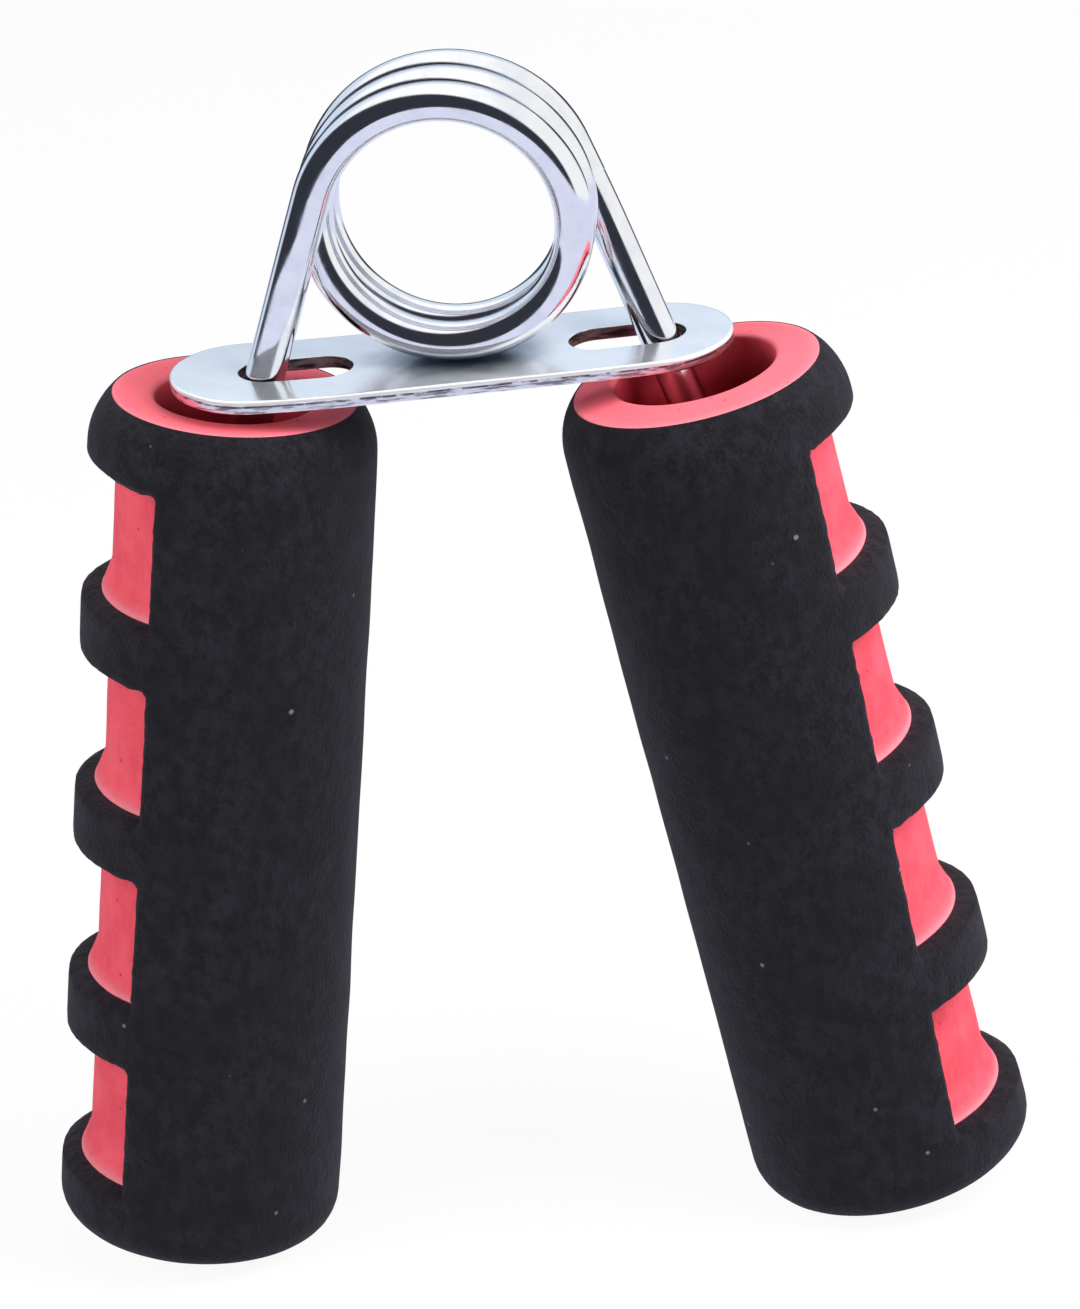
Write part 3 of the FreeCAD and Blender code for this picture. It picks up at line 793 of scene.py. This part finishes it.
def obround_loop(bm, centre, length, width):
    """Add a closed loop of edges round a slot shape that lies along X."""
    radius = width / 2
    reach = length / 2 - radius
    segments = 2 * round(pi * radius / PLATE_EDGE_STEP)
    made = bmesh.ops.create_circle(bm, cap_ends=False, radius=radius, segments=segments)
    verts = made["verts"]
    bmesh.ops.rotate(bm, verts=verts, cent=(0, 0, 0),
                     matrix=Matrix.Rotation(pi / segments, 3, "Z"))
    for side in (1, -1):
        half = [vert for vert in verts if vert.co.x * side > 0]
        bmesh.ops.translate(bm, verts=half, vec=(side * reach, 0, 0))
    bmesh.ops.translate(bm, verts=verts, vec=(centre, 0, 0))
    straight = [edge for edge in bm.edges
                if edge.verts[0] in verts and edge.calc_length() > reach]
    bmesh.ops.subdivide_edges(bm, edges=straight, cuts=round(2 * reach / PLATE_EDGE_STEP))


def is_outline(point):
    """Whether a point of the plate is on its outer edge, not in a slot."""
    reach = (OUTLINE_LENGTH - PLATE_WIDTH) / 2
    beyond = max(0.0, abs(point.x - OUTLINE_SHIFT) - reach)
    return hypot(beyond, point.y) > PLATE_WIDTH / 2 - OUTLINE_TOLERANCE


def on_rim(edge, height, outer):
    """Whether an edge is where a flat face meets the outline's wall or a slot's."""
    if any(abs(vert.co.z - height) > LEVEL_TOLERANCE for vert in edge.verts):
        return False
    if len({round(face.normal.z) for face in edge.link_faces}) < 2:
        return False
    return is_outline(edge.verts[0].co) == outer


def guide_plate(materials):
    bm = bmesh.new()
    obround_loop(bm, OUTLINE_SHIFT, OUTLINE_LENGTH, PLATE_WIDTH)
    obround_loop(bm, SLOT_SPACING / 2, SLOT_LENGTH, SLOT_WIDTH)
    obround_loop(bm, (LEFT_SLOT_CUT - SLOT_SPACING) / 2, SLOT_LENGTH - LEFT_SLOT_CUT, SLOT_WIDTH)
    bmesh.ops.triangle_fill(bm, edges=bm.edges, use_beauty=True)
    bmesh.ops.recalc_face_normals(bm, faces=bm.faces)
    lower = new_verts(bmesh.ops.extrude_face_region(bm, geom=list(bm.faces)))
    bmesh.ops.translate(bm, verts=lower, vec=(0, 0, -PLATE_THICKNESS))
    bmesh.ops.recalc_face_normals(bm, faces=bm.faces)
    walls = [edge for edge in bm.edges
             if abs(edge.verts[0].co.z - edge.verts[1].co.z) > PLATE_THICKNESS / 2]
    bmesh.ops.subdivide_edges(bm, edges=walls, cuts=WALL_CUTS, use_grid_fill=True)
    for height, outer, rounding, segments in PLATE_RIMS:
        edges = [edge for edge in bm.edges if on_rim(edge, height, outer)]
        bmesh.ops.bevel(bm, geom=edges, offset=rounding, offset_type="OFFSET", affect="EDGES",
                        segments=segments, profile=0.5, material=-1, clamp_overlap=True)
    for face in bm.faces:
        if is_outline(face.calc_center_median()) and abs(face.normal.z) < FLAT:
            face.material_index = EDGE_MATERIAL
        elif abs(face.normal.z) < UPRIGHT:
            face.material_index = SLOT_WALL_MATERIAL

    level = bm.verts.layers.float.new("level")
    for vert in bm.verts:
        down = -vert.co.z / PLATE_THICKNESS
        vert[level] = 1 - down
        if TORN_TOP < down < TORN_FOOT and is_outline(vert.co):
            torn = (noise.noise(vert.co / TORN_LENGTH) - TORN_BIAS) * TORN_DEPTH
            vert.co += Vector((vert.co.x * TORN_ALONG, vert.co.y, 0)).normalized() * torn
        rise = LEFT_WING_RISE if vert.co.x < 0 else RIGHT_WING_RISE
        along = max(0.0, abs(vert.co.x) - WING_START) / (PLATE_LENGTH / 2 - WING_START)
        vert.co.z += rise * along ** 2
    place = (Matrix.Translation(COIL_CENTRE - Vector((0, 0, PLATE_DROP)))
             @ Matrix.Rotation(PLATE_TURN, 4, "Z"))
    bmesh.ops.transform(bm, matrix=place, verts=bm.verts)
    piece = finish_piece(bm, "slotted_plate", materials, "plate")
    piece.modifiers.new("flat_faces", "WEIGHTED_NORMAL").keep_sharp = True
    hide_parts("guide_plate")


# stage: floor, backdrop light and camera

# the way from the object to the camera's side, and to its right
FRONT = Vector((0.131, -0.991, 0))
RIGHT = Vector((0.991, 0.131, 0))
WHITE = (1.0, 1.0, 1.0, 1.0)
# what bright metal shows: a dark room in front and to the left, a pale sheet below, haze
# over a dark line behind, cloth overhead and white to the right
ROOM = (0.034, 0.036, 0.048, 1.0)
SHEET = (0.78, 0.80, 0.97, 1.0)
HAZE = (0.71, 0.81, 0.96, 1.0)
CLOTH = (1.15, 1.15, 1.15, 1.0)
# the way to the room's middle
ROOM_FRONT = 0.791
ROOM_RIGHT = -0.575
ROOM_UP = -0.208
# where each of them begins and is full, measured along its own way
ROOM_EDGE = (0.16, 0.32)
SHEET_EDGE = (-0.26, -0.21)
CLOTH_EDGE = (0.5, 0.8)
WHITE_EDGE = (0.35, 0.6)
DARK_LINE_BEHIND = (-0.6, -0.8)
DARK_LINE_EDGE = (0.26, 0.12)
# even light for everything that isn't metal
EVEN = (0.26, 0.26, 0.27, 1.0)


def tent(nodes, way):
    """What bright metal shows in one direction."""
    x, y, up = way.parts()
    front = x * FRONT.x + y * FRONT.y
    right = x * RIGHT.x + y * RIGHT.y
    room = nodes.spread(front * ROOM_FRONT + right * ROOM_RIGHT + up * ROOM_UP, *ROOM_EDGE)
    dark_line = nodes.spread(front, *DARK_LINE_BEHIND) * nodes.spread(up, *DARK_LINE_EDGE)
    shown = nodes.blend(nodes.spread(up, *CLOTH_EDGE), HAZE, CLOTH)
    shown = nodes.blend(nodes.spread(right, *WHITE_EDGE), shown, WHITE)
    shown = nodes.blend(room + dark_line, shown, ROOM)
    return nodes.blend(nodes.spread(up, *SHEET_EDGE), SHEET, shown)


def studio():
    """White for the camera, even light on the foam, and the tent in metal."""
    world = bpy.data.worlds.new("studio")
    bpy.context.scene.world = world
    world.use_nodes = True
    sky = Nodes(world.node_tree)
    way = sky.node("ShaderNodeTexCoord", {}, {}, "Generated")
    shown = sky.blend(sky.ray("Glossy"), EVEN, tent(sky, way))
    shown = sky.blend(sky.ray("Camera") + sky.ray("Transmission"), shown, WHITE)
    sky.tree.links.new(shown.socket, sky.tree.nodes["Background"].inputs["Color"])


FLOOR_HALF_SIZE = 3.0
FLOOR_DROP = 0.05 * MM
# share of the floor that is plain white to the camera; the rest takes the shadow
PLAIN_SHARE = 0.93
# the floor throws less light back than white paper would
FLOOR_GREY = (0.4, 0.4, 0.41, 1.0)


def floor():
    """A pale floor that bright metal sees as the tent round the coil."""
    bm = bmesh.new()
    bmesh.ops.create_grid(bm, x_segments=1, y_segments=1, size=FLOOR_HALF_SIZE,
                          matrix=Matrix.Translation((0, 0, -FLOOR_DROP)))
    mesh = bpy.data.meshes.new("floor")
    bm.to_mesh(mesh)
    bm.free()
    plane = add_object("floor", mesh)
    pale = Finish("pale_floor", Roughness=1.0, Specular_IOR_Level=0.0)
    direct = pale.ray("Camera") + pale.ray("Transmission")
    pale.to("Base Color", pale.blend(direct, FLOOR_GREY, WHITE))
    from_coil = pale.node("ShaderNodeVectorMath", {"operation": "SUBTRACT"},
                          {0: pale.place(), 1: COIL_CENTRE})
    way = pale.node("ShaderNodeVectorMath", {"operation": "NORMALIZE"}, {0: from_coil})
    shown = pale.blend(direct, tent(pale, way), WHITE)
    glow = pale.node("ShaderNodeEmission", {}, {"Color": shown})
    shadowed = Value(pale, pale.surface.outputs[0])
    share = direct * PLAIN_SHARE + pale.ray("Glossy")
    mixed = pale.node("ShaderNodeMixShader", {}, {0: share, 1: shadowed, 2: glow})
    pale.tree.links.new(mixed.socket, pale.tree.nodes["Material Output"].inputs["Surface"])
    mesh.materials.append(pale.material)


# soft boxes, aimed at the object's middle, each with its place and its power
LAMPS = {
    "right_key": ((0.42, -0.12, 0.50), 5.2),
    "left_fill": ((-0.42, -0.32, 0.45), 2.5),
}
LAMP_AIM = Vector((0, 0, 0.07))
LAMP_SIZE = 0.4


def soft_box(name, place, power):
    lamp = bpy.data.lights.new(name, "AREA")
    lamp.shape = "SQUARE"
    lamp.size = LAMP_SIZE
    lamp.energy = power
    box = add_object(name, lamp)
    box.location = place
    box.rotation_euler = (LAMP_AIM - Vector(place)).to_track_quat("-Z", "Y").to_euler()
    box.visible_glossy = False


CAMERA_AZIMUTH = radians(7.54)
CAMERA_ELEVATION = radians(24.39)
CAMERA_ROLL = radians(5.74)
CAMERA_DISTANCE = 718.8 * MM
CAMERA_TARGET = Vector((5.47 * MM, 0, 70.62 * MM))
CLIP_START = 0.01
CLIP_END = 20
# the lens in pixels of the photograph, whose long side is its height
LENS_PIXELS = 6296.9
PHOTO_HEIGHT = 1309
SENSOR = 36.0


def camera():
    """Where the photograph was taken from, rolled as it was held."""
    data = bpy.data.cameras.new("camera")
    data.sensor_width = SENSOR
    data.lens = LENS_PIXELS * SENSOR / PHOTO_HEIGHT
    data.clip_start = CLIP_START
    data.clip_end = CLIP_END
    back = Vector((sin(CAMERA_AZIMUTH) * cos(CAMERA_ELEVATION),
                   -cos(CAMERA_AZIMUTH) * cos(CAMERA_ELEVATION), sin(CAMERA_ELEVATION)))
    right = Vector((cos(CAMERA_AZIMUTH), sin(CAMERA_AZIMUTH), 0))
    up = back.cross(right)
    rolled_right = right * cos(CAMERA_ROLL) - up * sin(CAMERA_ROLL)
    rolled_up = right * sin(CAMERA_ROLL) + up * cos(CAMERA_ROLL)
    turn = Matrix((rolled_right, rolled_up, back)).transposed().to_4x4()
    eye = add_object("camera", data)
    eye.matrix_world = Matrix.Translation(CAMERA_TARGET + back * CAMERA_DISTANCE) @ turn
    bpy.context.scene.camera = eye


def build():
    bpy.context.scene.view_settings.view_transform = "Standard"
    camera()
    studio()
    floor()
    for name, (place, power) in LAMPS.items():
        soft_box(name, place, power)

    black = black_foam_finish()
    red = red_foam_finish()
    steel = spring_wire_finish()
    plastic = core_finish()
    for side, half_turns in SIDES:
        outer_foam(side, half_turns, black)
        inner_foam(side, half_turns, red)
        coil_half(side, half_turns, steel)
        leg(side, half_turns, steel)
        core = frame["nodes"][side + "_core"]
        core.data.materials.clear()
        core.data.materials.append(plastic)
    guide_plate([plate_finish(), sheared_finish(), slot_wall_finish()])


build()
